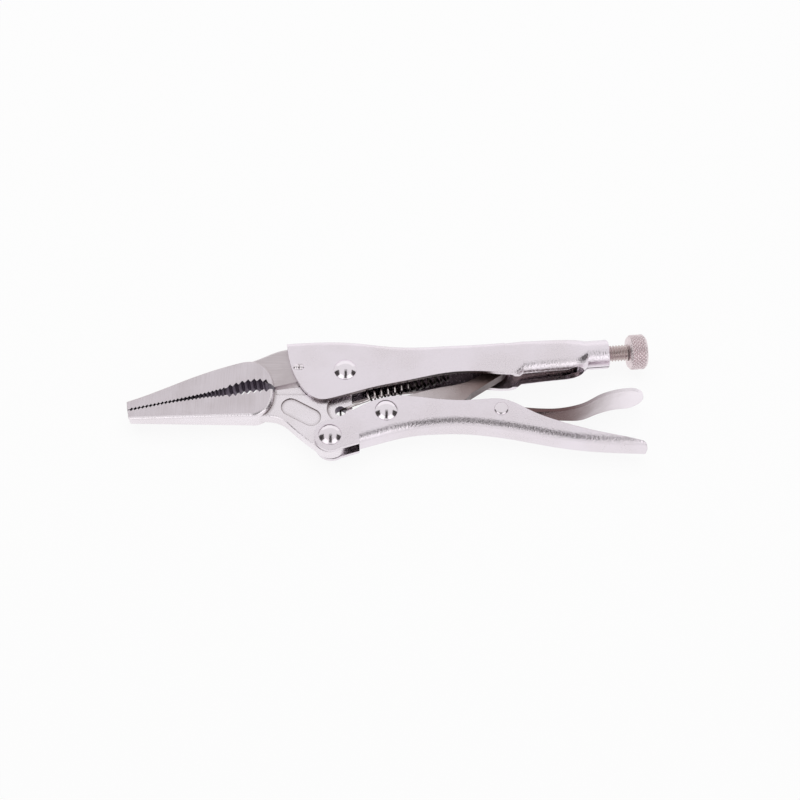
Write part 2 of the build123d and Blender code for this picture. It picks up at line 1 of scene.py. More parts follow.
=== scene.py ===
import json
import math
import bpy
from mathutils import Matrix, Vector


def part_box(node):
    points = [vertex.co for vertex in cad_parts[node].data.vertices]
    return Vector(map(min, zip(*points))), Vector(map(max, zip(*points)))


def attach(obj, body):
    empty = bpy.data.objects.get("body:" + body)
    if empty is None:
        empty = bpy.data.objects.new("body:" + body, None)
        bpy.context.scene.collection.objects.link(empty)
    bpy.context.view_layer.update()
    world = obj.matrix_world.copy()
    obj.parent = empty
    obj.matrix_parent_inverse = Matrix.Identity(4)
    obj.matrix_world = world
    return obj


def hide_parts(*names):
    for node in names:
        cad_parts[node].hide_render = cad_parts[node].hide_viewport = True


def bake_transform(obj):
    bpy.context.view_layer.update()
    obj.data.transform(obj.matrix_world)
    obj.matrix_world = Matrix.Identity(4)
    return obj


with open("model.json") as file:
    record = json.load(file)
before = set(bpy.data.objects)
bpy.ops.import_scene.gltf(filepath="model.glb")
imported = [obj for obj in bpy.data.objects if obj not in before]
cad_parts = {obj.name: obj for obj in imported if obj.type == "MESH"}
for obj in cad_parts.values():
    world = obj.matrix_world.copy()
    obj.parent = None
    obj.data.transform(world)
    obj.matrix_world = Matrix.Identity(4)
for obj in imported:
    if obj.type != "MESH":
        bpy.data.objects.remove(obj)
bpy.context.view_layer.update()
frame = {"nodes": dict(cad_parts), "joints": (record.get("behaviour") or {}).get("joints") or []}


# Upper handle: a blank of sheet steel bent into a channel, rolled under along the grip and closed
# into a collar at the rear. It is tumbled before its satin nickel plate, so its skin is a little
# sandy. Painted shade darkens it down inside the channel, and its sheared edges are coloured dark.
mm = 0.001


class Flow:
    """A value in a node tree. Arithmetic on values adds Math nodes to the tree."""

    def __init__(self, tree, socket=None):
        self.tree = tree
        self.socket = socket

    def add(self, kind, settings=None, sockets=None, out=0):
        """Any node: its settings are set first, then the values or links of its sockets."""
        node = self.tree.nodes.new(kind)
        for name, value in (settings or {}).items():
            setattr(node, name, value)
        for name, value in (sockets or {}).items():
            if isinstance(value, Flow):
                self.tree.links.new(value.socket, node.inputs[name])
            else:
                node.inputs[name].default_value = value
        return Flow(self.tree, node.outputs[out])

    def into(self, socket):
        self.tree.links.new(self.socket, socket)

    def maths(self, operation, first, second=0.0):
        return self.add("ShaderNodeMath", {"operation": operation}, {0: first, 1: second})

    def axis(self, letter):
        """One coordinate of this vector."""
        return self.add("ShaderNodeSeparateXYZ", {}, {0: self}, out=letter)

    def blend(self, colour_0, colour_1):
        """Colour between two others, by this value."""
        settings = {"data_type": "RGBA", "clamp_factor": True}
        return self.add("ShaderNodeMix", settings, {0: self, 6: colour_0, 7: colour_1}, out=2)

    def band(self, low, high, kind="SMOOTHSTEP"):
        """This value as a soft step from 0 at low to 1 at high."""
        sockets = {"Value": self, "From Min": low, "From Max": high}
        return self.add("ShaderNodeMapRange", {"interpolation_type": kind}, sockets)

    def ramp(self, low, high):
        """This value as a straight ramp from 0 at low to 1 at high."""
        return self.band(low, high, "LINEAR")

    def __add__(self, other):
        return self.maths("ADD", self, other)

    def __radd__(self, other):
        return self.maths("ADD", other, self)

    def __sub__(self, other):
        return self.maths("SUBTRACT", self, other)

    def __rsub__(self, other):
        return self.maths("SUBTRACT", other, self)

    def __mul__(self, other):
        return self.maths("MULTIPLY", self, other)

    def __rmul__(self, other):
        return self.maths("MULTIPLY", other, self)

    def __truediv__(self, other):
        return self.maths("DIVIDE", self, other)

    def __rtruediv__(self, other):
        return self.maths("DIVIDE", other, self)


def bare_metal(name):
    """A metal material, its node tree, its shader and the places on its piece."""
    material = bpy.data.materials.new(name)
    material.use_nodes = True
    tree = Flow(material.node_tree)
    shader = material.node_tree.nodes["Principled BSDF"]
    shader.inputs["Metallic"].default_value = 1.0
    where = tree.add("ShaderNodeTexCoord", out="Object")
    return material, tree, shader, where


def noise(tree, where, size, detail=2.0, roughness=0.5):
    sockets = {"Vector": where, "Scale": 1 / size, "Detail": detail, "Roughness": roughness}
    return tree.add("ShaderNodeTexNoise", {}, sockets)


probe_rays = 4


def worn_skin(tree, shader, height, depth, edge):
    """Fine relief of a surface, with its sharp edges broken by this radius."""
    rounded = tree.add("ShaderNodeBevel", {"samples": probe_rays}, {"Radius": edge})
    sockets = {"Height": height, "Strength": 1.0, "Distance": depth, "Normal": rounded}
    tree.add("ShaderNodeBump", {}, sockets).into(shader.inputs["Normal"])


def openness(tree, reach):
    """How open a place is to the air: 1 outside, less down in a hollow of its own piece."""
    settings = {"samples": probe_rays, "only_local": True}
    return tree.add("ShaderNodeAmbientOcclusion", settings, {"Distance": reach}, out="AO")


patch_size = 22 * mm
speck_size = 1.1 * mm
broken_edge = 0.25 * mm
crease_place = 50.56 * mm
crease_line = 0.3 * mm
crease_fade = 0.9 * mm


def satin_nickel(name, pale, dull, hollow, polish, grain=0.85 * mm, depth=0.13 * mm, reach=14 * mm,
                 hollow_shade_band=(0.10, 0.58)):
    """Nickel plate on tumbled steel: sandy grain, soft dull patches, and painted shade in the hollows
    of its own piece.
    """
    material, tree, shader, where = bare_metal(name)
    sand = noise(tree, where, grain, roughness=0.6)
    patches = noise(tree, where, patch_size, detail=3.0)
    specks = noise(tree, where, speck_size).band(0.62, 0.76)
    plate = (patches.band(0.35, 0.7) * 0.75 + specks * 0.25).blend(pale, dull)
    # Painted shade: where the piece's own shape hides a place from the air, its colour goes to the
    # hollow colour.
    colour = openness(tree, reach).band(*hollow_shade_band).blend(hollow, plate)
    colour.into(shader.inputs["Base Color"])
    (patches * 0.10 + sand * 0.12 + polish).into(shader.inputs["Roughness"])
    off_crease = tree.maths("ABSOLUTE", where.axis("X") - crease_place).band(crease_line, crease_fade)
    worn_skin(tree, shader, sand, depth, off_crease * broken_edge)
    return material


edge_facing = (-0.90, -0.75)
edge_fade = 4 * mm


def sheared(material, brown, rear):
    """Darkens the faces that face -Y, the sheared edges along a channel's mouth, up to a place."""
    tree = Flow(material.node_tree)
    colour = material.node_tree.nodes["Principled BSDF"].inputs["Base Color"]
    plain = Flow(material.node_tree, colour.links[0].from_socket)
    facing = tree.add("ShaderNodeNewGeometry", out="Normal").axis("Y")
    along = tree.add("ShaderNodeTexCoord", out="Object").axis("X")
    cut = (1 - facing.band(*edge_facing)) * (1 - along.band(rear - edge_fade, rear))
    cut.blend(plain, brown).into(colour)
    return material


def dress(node, material):
    """Gives a solid its finish."""
    solid = frame["nodes"][node]
    solid.data.materials.clear()
    solid.data.materials.append(material)


sheet_pale = (0.86, 0.795, 0.855, 1)
sheet_dull = (0.79, 0.725, 0.765, 1)
# Colour of the painted shade down inside the handles' channels.
sheet_hollow_shade = (0.085, 0.056, 0.052, 1)
sheet_polish = 0.14
edge_brown = (0.20, 0.16, 0.165, 1)
mouth_rear = crease_place - 4 * mm
upper_nickel = satin_nickel("satin_nickel_upper", sheet_pale, sheet_dull, sheet_hollow_shade, sheet_polish)
dress("upper_handle", sheared(upper_nickel, edge_brown, mouth_rear))


# Fixed jaw: a forging with a thin shank held in the handle and a nose that tapers to its tip. The
# cheeks of the nose are ground across on a belt and its shank is brushed along. The teeth are cut
# afterwards, and are coloured dark.
cloud_size = 12 * mm
scratch_depth = 0.012 * mm


def ground_steel(name, pale, dull, runs, scratch_width, polish):
    """Steel with parallel grinding lines. Runs holds how far a scratch goes along each axis."""
    material, tree, shader, where = bare_metal(name)
    spacing = tuple(1 / (scratch_width * run) for run in runs)
    drawn = tree.add("ShaderNodeMapping", {}, {"Vector": where, "Scale": spacing})
    scratch = noise(tree, drawn, 1.0, detail=3.0, roughness=0.65)
    clouds = noise(tree, where, cloud_size, detail=3.0)
    colour = (scratch.band(0.3, 0.75) * 0.65 + clouds.band(0.4, 0.7) * 0.35).blend(pale, dull)
    colour.into(shader.inputs["Base Color"])
    (scratch * 0.16 + clouds * 0.08 + polish).into(shader.inputs["Roughness"])
    worn_skin(tree, shader, scratch, scratch_depth, broken_edge)
    return material


cheek_steel = ground_steel("ground_cheek", (0.74, 0.68, 0.725, 1), (0.60, 0.54, 0.565, 1),
                           runs=(1, 70, 70), scratch_width=0.2 * mm, polish=0.20)
# Dark steel for the teeth, also used as painted shade on the wall of the spring's drilled hole.
teeth_and_hole_shade_steel = ground_steel("dark_teeth_hole_shade", (0.100, 0.070, 0.110, 1), (0.048, 0.032, 0.052, 1),
                           runs=(4, 4, 60), scratch_width=0.15 * mm, polish=0.24)
shank_steel = ground_steel("brushed_shank", (0.66, 0.60, 0.625, 1), (0.50, 0.44, 0.455, 1),
                           runs=(60, 1, 1), scratch_width=0.25 * mm, polish=0.22)
hinges = [joint for joint in frame["joints"] if joint["type"] == "hinge"]
joint_places = {hinge["name"]: Vector(hinge["pos_m"]) for hinge in hinges}
main_pivot = joint_places["jaw_hinge"]
nose_behind = 30.4 * mm
thin_nose = 55 * mm
shank_half = 3.6 * mm
hook_hole = main_pivot + Vector((-1.9, -18.7, 0)) * mm
hole_wall = 2.4 * mm
flat_cheek = 0.985
side_wall = 0.3
least_bite = 0.02
tip_end = -0.95


def jaw_skin(node, body, bite_up, shank):
    """A jaw with its shank and its cheeks in two finishes, its teeth dark, and painted shade on the
    wall of its drilled hole.
    """
    mesh = frame["nodes"][node].data.copy()
    mesh.materials.clear()
    for material in (shank, cheek_steel, teeth_and_hole_shade_steel):
        mesh.materials.append(material)
    for face in mesh.polygons:
        ahead = main_pivot.x - face.center.x
        aside = abs(face.center.z - main_pivot.z)
        from_hole = (face.center - hook_hole).to_2d().length
        is_cheek = abs(face.normal.z) > flat_cheek and (aside > shank_half or ahead > thin_nose)
        is_wall = abs(face.normal.z) < side_wall
        is_bite = is_wall and face.normal.y * bite_up > least_bite and face.normal.x > tip_end
        # Painted shade: the wall of the spring's drilled hole takes the dark tooth colour.
        is_shaded_hole = is_wall and from_hole < hole_wall
        if is_cheek:
            face.material_index = 1
        elif is_shaded_hole or is_bite and ahead > nose_behind:
            face.material_index = 2
    piece = bpy.data.objects.new(node + "_skin", mesh)
    bpy.context.scene.collection.objects.link(piece)
    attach(piece, body)
    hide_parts(node)


jaw_skin("fixed_jaw", "upper_frame", -1, shank_steel)


# Jaw pin: an oblong steel pin through the handle and the jaw's tang, staked over at both ends into
# two small bright lumps.
# Its third colour is painted shade in the crevices around the lumps.
staked_steel = satin_nickel(
    "staked_pin", (0.88, 0.82, 0.86, 1), (0.76, 0.70, 0.73, 1), (0.28, 0.24, 0.24, 1),
    polish=0.05, grain=0.5 * mm, depth=0.01 * mm, reach=1.2 * mm, hollow_shade_band=(0.5, 0.95))
dress("jaw_pin", staked_steel)


# Moving jaw: the lower forging, from its toothed nose back to the hub and the boss that its two
# rivets go through. Its nose is finished like the fixed one, and its tail is left sandy.
# Its third colour is painted shade in the forging's pockets and crevices.
forged_nickel = satin_nickel(
    "sandy_forging", (0.91, 0.85, 0.90, 1), (0.82, 0.76, 0.79, 1), (0.16, 0.115, 0.11, 1),
    polish=0.16, grain=0.95 * mm, depth=0.07 * mm, reach=1.8 * mm, hollow_shade_band=(0.45, 0.97))
jaw_skin("moving_jaw", "moving_jaw", 1, forged_nickel)


# Rivets: turned steel pins, headed over on both walls into polished domes. The lever's rivet is
# smaller and nearly flat.
def shaping(name, sizes, takes_path=False):
    """A Geometry Nodes tree with these named sizes as its inputs, and the flow of each one."""
    group = bpy.data.node_groups.new(name, "GeometryNodeTree")
    group.interface.new_socket("Geometry", in_out="OUTPUT", socket_type="NodeSocketGeometry")
    if takes_path:
        group.interface.new_socket("Path", in_out="INPUT", socket_type="NodeSocketGeometry")
    for size in sizes:
        group.interface.new_socket(size, in_out="INPUT", socket_type="NodeSocketFloat")
    entry = group.nodes.new("NodeGroupInput")
    return Flow(group), {socket.name: Flow(group, socket) for socket in entry.outputs if socket.name}


def finish_shape(tree, shape, material):
    """The end of a tree: real geometry with smooth shading and its material."""
    smooth = tree.add("GeometryNodeSetShadeSmooth", {}, {"Geometry": shape})
    real = tree.add("GeometryNodeRealizeInstances", {}, {"Geometry": smooth})
    made = tree.add("GeometryNodeSetMaterial", {}, {"Geometry": real, "Material": material})
    made.into(tree.tree.nodes.new("NodeGroupOutput").inputs["Geometry"])


def grow_piece(name, tree, sizes, data, sharp_angle):
    """A plain mesh made by a tree with these sizes, with its edges past an angle marked sharp."""
    piece = bpy.data.objects.new(name, data)
    bpy.context.scene.collection.objects.link(piece)
    growth = piece.modifiers.new("growth", "NODES")
    growth.node_group = tree.tree
    for item in tree.tree.interface.items_tree:
        if item.name in sizes:
            growth[item.identifier] = sizes[item.name]
    graph = bpy.context.evaluated_depsgraph_get()
    mesh = bpy.data.meshes.new_from_object(
        piece.evaluated_get(graph), preserve_all_data_layers=True, depsgraph=graph)
    mesh.set_sharp_from_angle(angle=math.radians(sharp_angle))
    bpy.data.objects.remove(piece)
    piece = bpy.data.objects.new(name, mesh)
    bpy.context.scene.collection.objects.link(piece)
    return piece


full_turn = 2 * math.pi
seam_gap = 0.002 * mm


def around_axis(tree, rows, row_span, columns):
    """A grid for a turned form: its mesh, its place along the profile, and its angle."""
    sockets = {"Size X": row_span, "Size Y": full_turn, "Vertices X": rows, "Vertices Y": columns}
    grid = tree.add("GeometryNodeMeshGrid", {}, sockets)
    where = tree.add("GeometryNodeInputPosition")
    return grid, where.axis("X"), where.axis("Y")


def set_points(tree, grid, x, y, z):
    """The grid's points put where the formula says, with its seam and poles closed."""
    point = tree.add("ShaderNodeCombineXYZ", {}, {0: x, 1: y, 2: z})
    moved = tree.add("GeometryNodeSetPosition", {}, {"Geometry": grid, "Position": point})
    return tree.add("GeometryNodeMergeByDistance", {}, {"Geometry": moved, "Distance": seam_gap})


# Its third colour is painted shade under the heads.
rivet_steel = satin_nickel(
    "polished_rivet", (0.86, 0.80, 0.85, 1), (0.80, 0.74, 0.78, 1), (0.50, 0.44, 0.44, 1),
    polish=0.04, grain=0.6 * mm, depth=0.004 * mm)
rivet_form, rivet_size = shaping("headed_rivet", (
    "Head radius", "Head height", "Rim", "Flat", "Shank radius", "Half grip", "X", "Y", "Z"))
grid, profile, angle = around_axis(rivet_form, rows=81, row_span=2.0, columns=73)
shank_stop = 0.2
seat_stop = 0.3
rim_stop = 0.4
dome_stop = 0.9
pole_stop = 1.0
outward = rivet_form.maths("ABSOLUTE", profile)
dome_rise = rivet_size["Head height"] - rivet_size["Rim"]
dome_span = rivet_size["Head radius"] - rivet_size["Flat"]
dome_radius = (dome_span * dome_span + dome_rise * dome_rise) / (2 * dome_rise)
dome_turn = rivet_form.maths("ARCSINE", dome_span / dome_radius)
lean = dome_turn * (1 - outward.ramp(rim_stop, dome_stop))
flat_top = (1 - outward.ramp(dome_stop, pole_stop)) * rivet_size["Flat"]
head = flat_top + dome_radius * rivet_form.maths("SINE", lean)
under_head = 1 - outward.ramp(shank_stop, seat_stop)
radius = head - under_head * (rivet_size["Head radius"] - rivet_size["Shank radius"])
dome_fall = dome_radius * (1 - rivet_form.maths("COSINE", lean))
dome_level = rivet_size["Half grip"] + rivet_size["Head height"] - dome_fall
down_rim = 1 - outward.ramp(seat_stop, rim_stop)
down_shank = 1 - outward.ramp(0.0, shank_stop)
level = dome_level - down_rim * rivet_size["Rim"] - down_shank * rivet_size["Half grip"]
rivet_mesh = set_points(
    rivet_form, grid,
    rivet_size["X"] + radius * rivet_form.maths("COSINE", angle),
    rivet_size["Y"] - radius * rivet_form.maths("SINE", angle),
    rivet_size["Z"] - level * rivet_form.maths("SIGN", profile))
finish_shape(rivet_form, rivet_mesh, rivet_steel)


def set_rivet(node, body, pivot, head_height, rim, flat, shank_dia):
    low, high = (Vector(corner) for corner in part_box(node))
    sizes = {"Head radius": (high.x - low.x) / 2, "Head height": head_height, "Rim": rim, "Flat": flat,
             "Shank radius": shank_dia / 2, "Half grip": (high.z - low.z) / 2 - head_height,
             "X": pivot.x, "Y": pivot.y, "Z": pivot.z}
    piece = grow_piece(node + "_turned", rivet_form, sizes, bpy.data.meshes.new(node), sharp_angle=40)
    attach(piece, body)
    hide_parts(node)


domed = {"head_height": 2.4 * mm, "rim": 0.25 * mm, "flat": 0.0, "shank_dia": 5.0 * mm}
button = {"head_height": 0.8 * mm, "rim": 0.1 * mm, "flat": 2.2 * mm, "shank_dia": 3.4 * mm}
set_rivet("main_rivet", "upper_frame", main_pivot, **domed)
set_rivet("jaw_rivet", "lower_handle", joint_places["handle_hinge"], **domed)
set_rivet("toggle_rivet", "lower_handle", joint_places["toggle_hinge"], **domed)
set_rivet("lever_rivet", "lower_handle", joint_places["lever_hinge"], **button)


# Lower handle: the second channel of bent sheet, riveted to the jaw by its two ears and plated like
# the upper one.
lower_nickel = satin_nickel("satin_nickel_sheet", sheet_pale, sheet_dull, sheet_hollow_shade, sheet_polish)
dress("lower_handle", lower_nickel)


# Toggle link: a thick plate blanked from bar, which stands between the lower handle and the screw.
# It is tumbled and left without plate, so it is a little browner than the handles, and its sheared
# edges are dark. Painted shadow darkens it towards its nose, up under the upper handle.
shade_cloud_size = 9 * mm
shade_cloud_share = 0.3


def painted_shade_towards(material, start, end, brown):
    """Adds painted shade to a metal: a cloudy brown multiply from nothing at one point to all of it at
    another.
    """
    tree = Flow(material.node_tree)
    colour = material.node_tree.nodes["Principled BSDF"].inputs["Base Color"]
    plain = Flow(material.node_tree, colour.links[0].from_socket)
    way = end - start
    where = tree.add("ShaderNodeTexCoord", out="Object")
    offset = tree.add("ShaderNodeVectorMath", {"operation": "SUBTRACT"}, {0: where, 1: tuple(start)})
    share = tree.add("ShaderNodeVectorMath", {"operation": "DOT_PRODUCT"},
                     {0: offset, 1: tuple(way / way.length_squared)}, out="Value")
    cloud = noise(tree, where, shade_cloud_size, detail=3.0)
    strength = (share + (cloud - 0.5) * shade_cloud_share).band(0.0, 1.0)
    settings = {"data_type": "RGBA", "blend_type": "MULTIPLY"}
    tree.add("ShaderNodeMix", settings, {0: strength, 6: plain, 7: brown}, out=2).into(colour)
    return material


link_foot = joint_places["toggle_hinge"]
link_nose = link_foot + Vector((50.0, 26.0, 0)) * mm
# Painted shadow of the upper handle, darkening the link towards its nose.
link_painted_shade = (0.30, 0.22, 0.20, 1)
# Its third colour is painted shade in the link's own hollows.
link_steel = satin_nickel("tumbled_link", (0.72, 0.66, 0.68, 1), (0.62, 0.555, 0.565, 1),
                          (0.28, 0.23, 0.22, 1), polish=0.18)
sheared_steel = ground_steel("sheared_edge", (0.24, 0.20, 0.205, 1), (0.13, 0.10, 0.105, 1),
                             runs=(3, 3, 1), scratch_width=0.4 * mm, polish=0.28)
edge_slope = 0.5
link_mesh = frame["nodes"]["toggle_link"].data.copy()
link_mesh.materials.clear()
link_mesh.materials.append(painted_shade_towards(link_steel, link_foot, link_nose, link_painted_shade))
link_mesh.materials.append(sheared_steel)
for face in link_mesh.polygons:
    if abs(face.normal.z) < edge_slope:
        face.material_index = 1
link = bpy.data.objects.new("toggle_link_blank", link_mesh)
bpy.context.scene.collection.objects.link(link)
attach(link, "toggle_link")
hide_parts("toggle_link")


# Release lever: thinner sheet, bent into a short channel at its rivet and flattened out into a
# paddle for the finger. It is plated like the handles, with painted shade darkening it towards its
# channel.
lever_root = joint_places["lever_hinge"] + Vector((27.0, 0, 0)) * mm
lever_tip = joint_places["lever_hinge"] + Vector((59.0, 0, 0)) * mm
# Painted shade on the lever, darkening it towards its rivet and channel.
lever_painted_shade = (0.17, 0.11, 0.105, 1)
lever_nickel = satin_nickel("satin_nickel_lever", (0.92, 0.855, 0.91, 1), (0.86, 0.80, 0.84, 1),
                            (0.13, 0.085, 0.078, 1), sheet_polish)
dress("release_lever", painted_shade_towards(lever_nickel, lever_tip, lever_root, lever_painted_shade))


# Adjusting screw: a steel rod with a rolled thread and a rounded tip, screwed into the handle's
# collar. It is bare, oiled steel, warmer than the plate, with a painted highlight on the thread's
# crests and painted shade in its grooves.
film_size = 1.6 * mm
fine_size = 0.3 * mm
fine_depth = 0.01 * mm
crest_edge = 0.08 * mm


def crest_lit_steel(name, bright, dark, polish):
    """Steel with a painted highlight on the crests of its grooves and painted shade in their bottoms,
    both read from the crest height.
    """
    material, tree, shader, where = bare_metal(name)
    crest = tree.add("ShaderNodeAttribute", {"attribute_name": "crest"}, out="Fac")
    film = noise(tree, where, film_size, detail=3.0)
    fine = noise(tree, where, fine_size)
    # Painted light: the crest colour is a painted highlight and the groove colour painted shade.
    colour = (crest.band(0.1, 0.85) * 0.8 + film * 0.2).blend(dark, bright)
    colour.into(shader.inputs["Base Color"])
    (film * 0.16 + polish).into(shader.inputs["Roughness"])
    worn_skin(tree, shader, fine, fine_depth, crest_edge)
    return material


def store_crest(tree, mesh, crest):
    """Keeps the height of a groove on the mesh, for its painted highlight and shade."""
    settings = {"data_type": "FLOAT", "domain": "POINT"}
    return tree.add("GeometryNodeStoreNamedAttribute", settings,
                    {"Geometry": mesh, "Name": "crest", "Value": crest})


slide = Vector(next(joint["axis"] for joint in frame["joints"] if joint["name"] == "screw_slide"))


def on_screw_line(tree, along, radius, angle):
    """Points of a turned form whose axis is the screw's line."""
    across = radius * tree.maths("COSINE", angle)
    x = along * slide.x - across * slide.y
    y = along * slide.y + across * slide.x
    return x, y, radius * tree.maths("SINE", angle)


screw_steel = crest_lit_steel("thread_painted_light", (0.70, 0.60, 0.59, 1), (0.08, 0.055, 0.05, 1), polish=0.18)
screw_low, screw_high = (Vector(corner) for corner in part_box("adjusting_screw"))
screw_radius = (screw_high.z - screw_low.z) / 2
screw_length = (screw_high.x - screw_low.x - 2 * screw_radius * slide.y) / slide.x
screw_form, screw_size = shaping("rolled_thread", (
    "Length", "Radius", "Pitch", "Depth", "Tip round", "X", "Y", "Z"))
end_room = 3 * mm
rows_span = screw_length + 2 * end_room
thread_flank = (0.12, 0.85)
grid, profile, angle = around_axis(screw_form, rows=521, row_span=rows_span, columns=41)
row_place = profile + rows_span / 2 - end_room
along = screw_form.maths("MAXIMUM", screw_form.maths("MINIMUM", row_place, screw_size["Length"]), 0.0)
turn = screw_form.maths("FRACT", along / screw_size["Pitch"] + angle / full_turn)
crest = screw_form.maths("ABSOLUTE", turn * 2 - 1).ramp(*thread_flank)
threaded = screw_size["Radius"] - screw_size["Depth"] * (1 - crest)
tip_round = screw_size["Tip round"]
back = screw_form.maths("MAXIMUM", tip_round - along, 0.0)
arc_square = screw_form.maths("MAXIMUM", tip_round * tip_round - back * back, 0.0)
tip = screw_size["Radius"] - tip_round + screw_form.maths("SQRT", arc_square)
front_cap = row_place.ramp(-end_room, 0.0)
rear_cap = 1 - (row_place - screw_size["Length"]).ramp(0.0, end_room)
radius = screw_form.maths("MINIMUM", threaded, tip) * (front_cap * rear_cap)
x, y, z = on_screw_line(screw_form, along, radius, angle)
screw_mesh = set_points(
    screw_form, grid, screw_size["X"] + x, screw_size["Y"] + y, screw_size["Z"] - z)
finish_shape(screw_form, store_crest(screw_form, screw_mesh, crest), screw_steel)
screw_start = Vector((screw_low.x + screw_radius * slide.y, 0, main_pivot.z))
screw_start.y = (screw_low.y + screw_high.y) / 2 - slide.y / slide.x * (
    (screw_low.x + screw_high.x) / 2 - screw_start.x)
screw = grow_piece("adjusting_screw_rolled", screw_form, {
    "Length": screw_length, "Radius": screw_radius, "Pitch": 1.35 * mm, "Depth": 0.62 * mm,
    "Tip round": 1.6 * mm, "X": screw_start.x, "Y": screw_start.y, "Z": screw_start.z,
}, bpy.data.meshes.new("thread"), sharp_angle=60)
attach(screw, "adjusting_screw")
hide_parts("adjusting_screw")


# Adjusting knob: a turned steel head with a diamond knurl rolled into its rim, pressed on the end
# of the screw. The knurl's points get a painted highlight and its grooves painted shade.
knob_steel = crest_lit_steel("knurled_head", (0.99, 0.92, 0.94, 1), (0.80, 0.69, 0.71, 1), polish=0.28)
solid_chamfer = 0.9 * mm
knob_low, knob_high = (Vector(corner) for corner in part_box("adjusting_knob"))
knob_radius = (knob_high.z - knob_low.z) / 2
knob_length = (knob_high.x - knob_low.x - 2 * (knob_radius - solid_chamfer) * slide.y) / slide.x
knob_form, knob_size = shaping("knurled_knob", (
    "Length", "Radius", "Chamfer", "Bore radius", "Bore depth", "Around", "Knurl depth", "X", "Y", "Z"))
rim_start = 4.0
rim_rows = 36.0
rim_end = rim_start + rim_rows
rear_end = rim_end + 2
knurl_flank = (0.10, 0.42)
knurl_fade = 0.6
grid, profile, angle = around_axis(knob_form, rows=169, row_span=rear_end, columns=289)
step = profile + rear_end / 2
bore_end = step.ramp(0.0, 1.0)
bore_wall = step.ramp(1.0, 2.0)
front = step.ramp(2.0, 3.0)
front_chamfer = step.ramp(3.0, rim_start)
rim = step.ramp(rim_start, rim_end)
rear_chamfer = step.ramp(rim_end, rim_end + 1)
rear = step.ramp(rim_end + 1, rear_end)
chamfer = knob_size["Chamfer"]
along = (knob_size["Bore depth"] - bore_wall * knob_size["Bore depth"] + front_chamfer * chamfer
         + rim * (knob_size["Length"] - 2 * chamfer) + rear_chamfer * chamfer)
face_radius = knob_size["Radius"] - chamfer
plain_radius = (bore_end * knob_size["Bore radius"] + front * (face_radius - knob_size["Bore radius"])
                + front_chamfer * chamfer - rear_chamfer * chamfer - rear * face_radius)
lead = along * knob_size["Around"] / (full_turn * knob_size["Radius"])
swing = angle * knob_size["Around"] / full_turn
ridge_up = knob_form.maths("ABSOLUTE", knob_form.maths("FRACT", swing + lead) * 2 - 1)
ridge_down = knob_form.maths("ABSOLUTE", knob_form.maths("FRACT", swing - lead) * 2 - 1)
diamond = knob_form.maths("MINIMUM", ridge_up, ridge_down).ramp(*knurl_flank)
on_rim = step.ramp(rim_start - knurl_fade, rim_start) * (1 - step.ramp(rim_end, rim_end + knurl_fade))
crest = 1 - on_rim * (1 - diamond)
radius = plain_radius - (1 - crest) * knob_size["Knurl depth"]
x, y, z = on_screw_line(knob_form, along, radius, angle)
knob_mesh = set_points(knob_form, grid, knob_size["X"] + x, knob_size["Y"] + y, knob_size["Z"] - z)
finish_shape(knob_form, store_crest(knob_form, knob_mesh, crest), knob_steel)
knob_middle = Vector([(low + high) / 2 for low, high in zip(knob_low, knob_high)])
knob_start = knob_middle - slide * (knob_length / 2)
bore_room = 0.05 * mm
bore_share = 0.79
knob = grow_piece("adjusting_knob_knurled", knob_form, {
    "Length": knob_length, "Radius": knob_radius, "Chamfer": 1.2 * mm,
    "Bore radius": screw_radius + bore_room, "Bore depth": bore_share * knob_length,
    "Around": 30.0, "Knurl depth": 0.42 * mm,
    "X": knob_start.x, "Y": knob_start.y, "Z": knob_start.z,
}, bpy.data.meshes.new("knurl"), sharp_angle=35)
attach(knob, "adjusting_knob")
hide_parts("adjusting_knob")


# Jaw spring: drawn steel wire wound into an open coil. Its front end hooks into the moving jaw's
# tail and its rear end goes through a tab under the upper handle's spine, bent up behind it.
# Colours of the spring's painted highlight and painted shade.
wire_highlight = (0.95, 0.89, 0.89, 1)
wire_dull = (0.62, 0.55, 0.54, 1)
painted_black_shade = (0.035, 0.028, 0.026, 1)
highlight_height = (1.2 * mm, 2.3 * mm)
shaded_rear = (27 * mm, 36 * mm)
shaded_hook = (2.2 * mm, 4.0 * mm)
draw_line = 0.12 * mm
draw_depth = 0.004 * mm


def painted_light_wire(name, hook):
    """Drawn wire with a painted highlight on the near side of its coils and painted black shade
    elsewhere, towards its rear and around its hook.
    """
    material, tree, shader, where = bare_metal(name)
    film = noise(tree, where, 1.2 * mm, detail=3.0)
    lines = noise(tree, where, draw_line)
    highlight_tone = film.band(0.35, 0.7).blend(wire_highlight, wire_dull)
    # Painted highlight: only a band on the near side of the wire is bright, and the rest is painted
    # black shade.
    bright = (where.axis("Z") - main_pivot.z).band(*highlight_height).blend(painted_black_shade, highlight_tone)
    off_hook = tree.add("ShaderNodeVectorMath", {"operation": "DISTANCE"},
                        {0: where, 1: tuple(hook)}, out="Value")
    # Painted shade: the coils far back in the channel and the wire at the hook are painted black.
    rear_shade = off_hook.band(*shaded_rear).blend(bright, painted_black_shade)
    off_hook.band(*shaded_hook).blend(painted_black_shade, rear_shade).into(shader.inputs["Base Color"])
    (film * 0.12 + 0.12).into(shader.inputs["Roughness"])
    sockets = {"Height": lines, "Strength": 1.0, "Distance": draw_depth}
    tree.add("ShaderNodeBump", {}, sockets).into(shader.inputs["Normal"])
    return material


def eased(start, leaving, end, arriving, count):
    """Points of a smooth bend from one point and direction to another, without its first point."""
    points = []
    for number in range(1, count + 1):
        t = number / count
        points.append(start * (1 - t) ** 3 + (start + leaving) * 3 * t * (1 - t) ** 2
                      + (end - arriving) * 3 * t ** 2 * (1 - t) + end * t ** 3)
    return points


